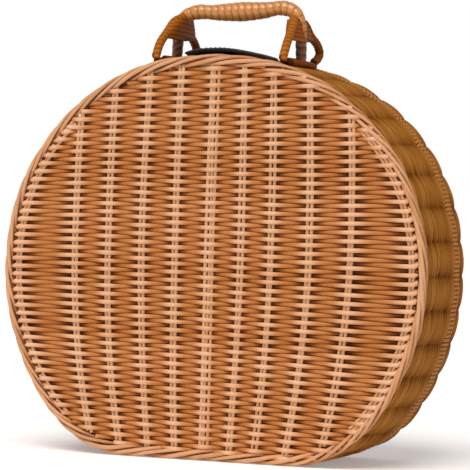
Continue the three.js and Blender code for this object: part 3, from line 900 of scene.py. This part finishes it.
for side, sideways in (("left", -1), ("right", 1)):
    front = [(FOOT_X - 8, HANDLE_Y - 1, LEG_TOP), (FOOT_X - 3, -20, 374), (FOOT_X - 1.5, -31, 365.5)]
    front += [(FOOT_X, -47, 352.5), (FOOT_X, -57, FOOT_Z + 0.5)]
    front = [(sideways * x, y, z) for x, y, z in front]
    # Painted light: the front legs get a paler shade than the back legs, which are painted in shade.
    leg = wound_rod(front, LEG_R, LEG_PITCH, start_side=(1, 0, 0), dip=LEG_DIP, shade=0.65)
    piece(f"handle_{side}_front_leg_cane", leg, leg_cane, "basket_body",
          [f"handle_{side}_front_leg"])
    back = [(FOOT_X - 8, HANDLE_Y + 1, LEG_TOP), (FOOT_X - 3, 11, 374), (FOOT_X - 1.5, 22, 365.5)]
    back += [(FOOT_X, 39, FOOT_Z + 19.6), (FOOT_X, 45, FOOT_Z + 13.1), (FOOT_X, 39, FOOT_Z + 8.1)]
    back += [(FOOT_X, 26, FOOT_Z + 4)]
    back = [(sideways * x, y, z) for x, y, z in back]
    leg = wound_rod(back, LEG_R, LEG_PITCH, start_side=(1, 0, 0), dip=LEG_DIP)
    piece(f"handle_{side}_back_leg_cane", leg, leg_cane, "basket_body",
          [f"handle_{side}_back_leg"])

    web_turns = round((WEB_HIGH - WEB_LOW) / WEB_PITCH)
    sleeve = wound_strip(web_turns, WEB_PITCH, WEB_SLEEVE_R, WEB_DIP, steps=48)
    straight = get_places(sleeve)
    share = np.clip(straight[:, 0] / straight[:, 0].max(), 0, 1)
    turn = np.arctan2(straight[:, 1], straight[:, 2])
    lift = np.hypot(straight[:, 1], straight[:, 2]) - WEB_SLEEVE_R
    front_reach = WEB_FRONT[0] - WEB_FRONT[1] * share ** 1.6
    back_reach = WEB_BACK[0] - WEB_BACK[1] * share ** 1.6
    reach = np.where(np.sin(turn) < 0, front_reach, back_reach)
    across = np.sign(np.sin(turn)) * np.abs(np.sin(turn)) ** 0.7
    bent = np.zeros_like(straight)
    bent[:, 0] = sideways * (FOOT_X - 1.5 - 4.5 * share) + (WEB_THICK + lift) * np.cos(turn)
    bent[:, 1] = HANDLE_Y + across * (reach + lift)
    bent[:, 2] = WEB_LOW + (WEB_HIGH - WEB_LOW) * share
    store(sleeve, "grain", "FLOAT_VECTOR", straight * MM)
    # Painted shade: the web gets a low shade, as it stands in shade under the grip, and is darker in the
    # dips between turns.
    store(sleeve, "shade", "FLOAT", np.full(len(straight), 0.4))
    store(sleeve, "painted_shading", "FLOAT", np.clip(1 + lift / WEB_DIP, 0, 1))
    sleeve.vertices.foreach_set("co", (bent * MM).ravel())
    piece(f"handle_{side}_web_cane", close_ends(tidy_mesh(sleeve)), leg_cane, "basket_body",
          [f"handle_{side}_leg_wrap"])

    slope = float(top_at(FOOT_X - 5, 0) - top_at(FOOT_X + 5, 0)) / 10
    lashings = []
    for aside in (-LASHING_AWAY, LASHING_AWAY):
        x = sideways * (FOOT_X + aside)
        z = FOOT_Z - slope * aside + 1.6
        points = [(x, -46, z), (x, -20, z + 0.6), (x, 5, z + 0.6), (x, 22, z)]
        lashings.append(wound_rod(points, LASHING_R, LASHING_PITCH, start_side=(1, 0, 0)))
    piece(f"handle_{side}_foot_lashing", join(lashings), leg_cane, "basket_body",
          [f"handle_{side}_foot_binding"])

# ---------------------------------------------------------------------------------------------
# Latch.
# A black leather strap is riveted to the lid, folds over the seam and closes with a magnet on a
# leather patch that is glued to the body's wall. The strap has a lining on its underside.
# ---------------------------------------------------------------------------------------------
LATCH_X = -6.0
LATCH_HALF = 27.0
PATCH_Y = (-50.0, -22.0)
STRAP_Y = (-52.0, 51.2)
LINING_Y = (-50.5, 35.5)
FOLD_Y = 39.0
LEATHER_THICK = 1.6
LINING_THICK = 1.2
LINING_ROOM = 0.15
STRAP_LOW = -1.0
STRAP_CLIMB = 2.9
STRAP_CLIMB_Y = 40
STRAP_CLIMB_RUN = 2.2
STRAP_SWELL = 3.2
STRAP_SWELL_Y = -18
STRAP_SWELL_RUN = 42
PATCH_IN = 8
PATCH_LIFT = -1.6
LINING_IN = 1


def leather_finish(name, dark, light):
    """Full-grain cowhide, dyed black and pressed.

    Small pebbles 1 mm apart break up a soft shine, and the raised ones are a little greyer.
    """
    material = bpy.data.materials.new(name)
    material.use_nodes = True
    tree = material.node_tree
    shader = tree.nodes["Principled BSDF"]
    place = add_node(tree, "ShaderNodeTexCoord", {})
    pebbles = add_node(tree, "ShaderNodeTexVoronoi", {"Scale": 1.0 / MM, "feature": "F1"},
                       {"Vector": place.outputs["Object"]})
    creases = add_node(tree, "ShaderNodeTexNoise", {"Scale": 0.12 / MM, "Detail": 4.0},
                       {"Vector": place.outputs["Object"]})
    mixed = add_node(tree, "ShaderNodeMath", {"operation": "MULTIPLY_ADD", 1: 0.5},
                     {0: pebbles.outputs["Distance"], 2: creases.outputs["Fac"]})
    colour = add_node(tree, "ShaderNodeValToRGB", {}, {"Fac": mixed.outputs[0]})
    set_ramp(colour, [(0.3, light), (0.8, dark)])
    tree.links.new(colour.outputs["Color"], shader.inputs["Base Color"])
    rough = add_node(tree, "ShaderNodeMapRange", {"To Min": 0.36, "To Max": 0.6},
                     {"Value": creases.outputs["Fac"]})
    tree.links.new(rough.outputs["Result"], shader.inputs["Roughness"])
    bump = add_node(tree, "ShaderNodeBump", {"Strength": 0.45, "Distance": 0.3 * MM, "invert": True},
                    {"Height": mixed.outputs[0]})
    tree.links.new(bump.outputs["Normal"], shader.inputs["Normal"])
    return material


black_leather = leather_finish("pressed_black_leather", "0c0a08", "2c2722")


def leather_sheet(name, x_span, y_span, lift, corner=4.0):
    """A sheet of leather over the crown. Lift gives its underside's height over the outline."""
    shape = bmesh.new()
    bmesh.ops.create_grid(shape, x_segments=36, y_segments=48, size=1.0)
    middle_x, half_x = sum(x_span) / 2, (x_span[1] - x_span[0]) / 2
    middle_y, half_y = sum(y_span) / 2, (y_span[1] - y_span[0]) / 2
    for vert in shape.verts:
        u, v = vert.co.x, vert.co.y
        cut = max(0.0, corner - half_y * (1 - abs(v)))
        pull = corner - math.sqrt(max(0.0, corner * corner - cut * cut))
        x = middle_x + math.copysign(max(0.0, half_x * abs(u) - pull * abs(u)), u)
        y = middle_y + half_y * v
        vert.co = (x * MM, y * MM, (float(top_at(x, 0)) + lift(x, y)) * MM)
    mesh = bpy.data.meshes.new(name)
    shape.to_mesh(mesh)
    shape.free()
    return mesh


def thicken(made, thick):
    """Gives a sheet its thickness upwards and rounds its cut edges."""
    wall = made.modifiers.new("thickness", "SOLIDIFY")
    wall.thickness = thick * MM
    wall.offset = 1.0
    edge = made.modifiers.new("edge", "BEVEL")
    edge.width = 0.45 * MM
    edge.segments = 3
    edge.limit_method = "ANGLE"
    edge.angle_limit = math.radians(50)
    for polygon in made.data.polygons:
        polygon.use_smooth = True


def strap_lift(x, y):
    """The strap lies on the lid, climbs over the rims and swells over the lining and the magnet."""
    u = (x - LATCH_X) / LATCH_HALF
    climb = 1 / (1 + math.exp((y - STRAP_CLIMB_Y) / STRAP_CLIMB_RUN))
    along = math.exp(-((y - STRAP_SWELL_Y) / STRAP_SWELL_RUN) ** 4)
    swell = STRAP_SWELL * (1 - min(1.0, abs(u)) ** 2.6) * along
    return STRAP_LOW + STRAP_CLIMB * climb + swell


def lining_lift(x, y):
    return strap_lift(x, y) - LINING_THICK - LINING_ROOM


def patch_lift(x, y):
    return PATCH_LIFT


x_span = (LATCH_X - LATCH_HALF, LATCH_X + LATCH_HALF)
patch_span = (x_span[0] + PATCH_IN, x_span[1] - PATCH_IN)
patch = leather_sheet("patch", patch_span, PATCH_Y, patch_lift)
patch = piece("latch_patch_leather", patch, black_leather, "basket_body", ["latch_patch"])
thicken(patch, LEATHER_THICK)
lining_span = (x_span[0] + LINING_IN, x_span[1] - LINING_IN)
lining = leather_sheet("lining", lining_span, LINING_Y, lining_lift)
lining = piece("latch_lining_leather", lining, black_leather, "latch_flap", ["latch_flap_lining"])
thicken(lining, LINING_THICK)
strap = leather_sheet("strap", x_span, STRAP_Y, strap_lift)
strap = piece("latch_strap_leather", strap, black_leather, None,
              ["latch_flap_leather", "latch_tab"])
thicken(strap, LEATHER_THICK)
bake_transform(strap)

STITCH_PITCH = 4.2
STITCH_LONG = 2.8
STITCH_IN = 3.0
STITCH_FROM_END = 5
STITCH_R = 0.36
STITCH_ARCH = (-0.35, 0.1, 0.18, 0.1, -0.35)

# Linen thread, waxed brown: it stands out a little from the black leather.
WAXED_THREAD = [(0.2, "2a2018"), (0.5, "4a3a2a"), (0.7, "5d4a37"), (0.9, "705b46")]
thread = willow("waxed_brown_thread", WAXED_THREAD, (0.5, 0.7), 0.0)
stitches = []
for y in np.arange(STRAP_Y[0] + STITCH_FROM_END, FOLD_Y - 8, STITCH_PITCH):
    for x in (x_span[0] + STITCH_IN, x_span[1] - STITCH_IN):
        stitches.append([(x, y), (x, y + STITCH_LONG)])
for x in np.arange(x_span[0] + STITCH_FROM_END, x_span[1] - STITCH_FROM_END, STITCH_PITCH):
    stitches.append([(x, STRAP_Y[0] + STITCH_IN), (x + STITCH_LONG, STRAP_Y[0] + STITCH_IN)])
lines = []
for (x0, y0), (x1, y1) in stitches:
    share = np.linspace(0, 1, len(STITCH_ARCH))
    line = np.zeros((len(share), 5))
    line[:, 0] = x0 + (x1 - x0) * share
    line[:, 1] = y0 + (y1 - y0) * share
    tops = [float(top_at(x, 0)) + strap_lift(x, y) + LEATHER_THICK for x, y in zip(line[:, 0], line[:, 1])]
    line[:, 2] = np.array(tops) + STITCH_ARCH
    line[:, 3] = STITCH_R
    line[:, 4] = 0.5
    lines.append(line)
stitching = rods("stitches", lines, [0.5] * len(lines), sides=6)
piece("latch_strap_stitches", stitching, thread, "latch_flap")

# ---------------------------------------------------------------------------------------------
# Rivets and magnets of the latch.
# Two nickel-plated steel rivets hold the strap on the lid; the magnets are plated steel discs.
# ---------------------------------------------------------------------------------------------
RIVET_AWAY = 15.0
RIVET_DOME = ((0.0, 1.9), (1.6, 1.65), (3.2, 1.05), (4.1, 0.25), (4.2, 0.0))
RIVET_SHANK = ((2.0, -0.1), (2.0, -3.6), (0.0, -3.6))


def tumbled_steel(name):
    """Nickel-plated steel, tumbled: a clear metal shine with fine scratches, drawn 0.4 mm apart."""
    material = bpy.data.materials.new(name)
    material.use_nodes = True
    tree = material.node_tree
    shader = tree.nodes["Principled BSDF"]
    place = add_node(tree, "ShaderNodeTexCoord", {})
    scratches = add_node(tree, "ShaderNodeTexNoise", {"Scale": 2.5 / MM, "Detail": 5.0},
                         {"Vector": place.outputs["Object"]})
    rough = add_node(tree, "ShaderNodeMapRange", {"To Min": 0.22, "To Max": 0.42},
                     {"Value": scratches.outputs["Fac"]})
    tree.links.new(rough.outputs["Result"], shader.inputs["Roughness"])
    colour = add_node(tree, "ShaderNodeValToRGB", {}, {"Fac": scratches.outputs["Fac"]})
    set_ramp(colour, [(0.3, "b3aea3"), (0.7, "cdc9c0")])
    tree.links.new(colour.outputs["Color"], shader.inputs["Base Color"])
    shader.inputs["Metallic"].default_value = 1.0
    return material


steel = tumbled_steel("plated_steel")
rivet_y = (FOLD_Y + STRAP_Y[1]) / 2
for side, sideways in (("left", -1), ("right", 1)):
    x = LATCH_X + sideways * RIVET_AWAY
    z = float(top_at(x, 0)) + strap_lift(x, rivet_y) + LEATHER_THICK
    shape = bmesh.new()
    corners = [shape.verts.new((r, 0, h)) for r, h in RIVET_DOME + RIVET_SHANK]
    edges = [shape.edges.new(pair) for pair in zip(corners, corners[1:])]
    bmesh.ops.spin(shape, geom=corners + edges, cent=(0, 0, 0), axis=(0, 0, 1), angle=2 * math.pi, steps=32,
                   use_merge=True, use_duplicate=False)
    bmesh.ops.remove_doubles(shape, verts=shape.verts, dist=0.001)
    bmesh.ops.recalc_face_normals(shape, faces=shape.faces)
    bmesh.ops.scale(shape, vec=(MM, MM, MM), verts=shape.verts)
    bmesh.ops.translate(shape, vec=(x * MM, rivet_y * MM, z * MM), verts=shape.verts)
    for face in shape.faces:
        face.smooth = True
    mesh = bpy.data.meshes.new("rivet")
    shape.to_mesh(mesh)
    shape.free()
    piece(f"latch_rivet_{side}_dome", mesh, steel, "basket_lid", [f"latch_rivet_{side}"])
for node in ("latch_patch_magnet", "latch_flap_magnet"):
    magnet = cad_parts[node]
    magnet.data.materials.clear()
    magnet.data.materials.append(steel)

# ---------------------------------------------------------------------------------------------
# Floor, lights and camera.
# A white paper sweep under soft light: one broad key from the front and above, and a dimmer
# white all round. The camera stands low, to the right of the face, and is rolled a little.
# ---------------------------------------------------------------------------------------------
FLOOR_HALF = 14.0
FLOOR_GLOW = 0.25
CAMERA_SIDE = 0.3403
CAMERA_LIFT = 0.0133
CAMERA_ROLL = 0.0324
CAMERA_AWAY = 2.4
CAMERA_LENS = 213.0
LOOK_AT = Vector((0.0016, -0.004, 0.1912))
KEY_FROM = Vector((-0.02, -1.15, 1.5))
KEY_STRENGTH = 2.5
KEY_SPREAD = 40
AMBIENT = 0.34

shape = bmesh.new()
bmesh.ops.create_grid(shape, x_segments=2, y_segments=2, size=FLOOR_HALF)
mesh = bpy.data.meshes.new("floor")
shape.to_mesh(mesh)
shape.free()
floor = bpy.data.objects.new("floor", mesh)
bpy.context.scene.collection.objects.link(floor)

# Uncoated paper with a faint glow of its own, so that it stays white and matt.
paper = bpy.data.materials.new("white_paper_sweep")
paper.use_nodes = True
shader = paper.node_tree.nodes["Principled BSDF"]
shader.inputs["Base Color"].default_value = linear("fcfbfa")
shader.inputs["Roughness"].default_value = 0.9
shader.inputs["Emission Color"].default_value = (1.0, 1.0, 1.0, 1.0)
shader.inputs["Emission Strength"].default_value = FLOOR_GLOW
mesh.materials.append(paper)

sun = bpy.data.lights.new("key", "SUN")
sun.energy = KEY_STRENGTH
sun.angle = math.radians(KEY_SPREAD)
sun.color = linear("fff8f0")[:3]
key = bpy.data.objects.new("key", sun)
bpy.context.scene.collection.objects.link(key)
key.rotation_euler = (-KEY_FROM).to_track_quat("-Z", "Y").to_euler()

world = bpy.data.worlds.new("studio")
bpy.context.scene.world = world
world.use_nodes = True
sky = world.node_tree
seen = add_node(sky, "ShaderNodeLightPath", {})
strength = add_node(sky, "ShaderNodeMapRange", {"To Min": AMBIENT, "To Max": 1.0},
                    {"Value": seen.outputs["Is Camera Ray"]})
sky.nodes["Background"].inputs["Color"].default_value = (1.0, 1.0, 1.0, 1.0)
sky.links.new(strength.outputs["Result"], sky.nodes["Background"].inputs["Strength"])
bpy.context.scene.view_settings.view_transform = "Standard"

level = math.cos(CAMERA_LIFT)
towards = Vector((math.sin(CAMERA_SIDE) * level, -math.cos(CAMERA_SIDE) * level, math.sin(CAMERA_LIFT)))
right = Vector((math.cos(CAMERA_SIDE), math.sin(CAMERA_SIDE), 0))
up = towards.cross(right)
turned_right = right * math.cos(CAMERA_ROLL) + up * math.sin(CAMERA_ROLL)
turned_up = up * math.cos(CAMERA_ROLL) - right * math.sin(CAMERA_ROLL)
lens = bpy.data.cameras.new("camera")
lens.sensor_width = 36.0
lens.lens = CAMERA_LENS
lens.clip_end = 60.0
camera = bpy.data.objects.new("camera", lens)
bpy.context.scene.collection.objects.link(camera)
camera.matrix_world = Matrix.Translation(LOOK_AT + towards * CAMERA_AWAY) @ Matrix(
    (turned_right, turned_up, towards)).transposed().to_4x4()
bpy.context.scene.camera = camera
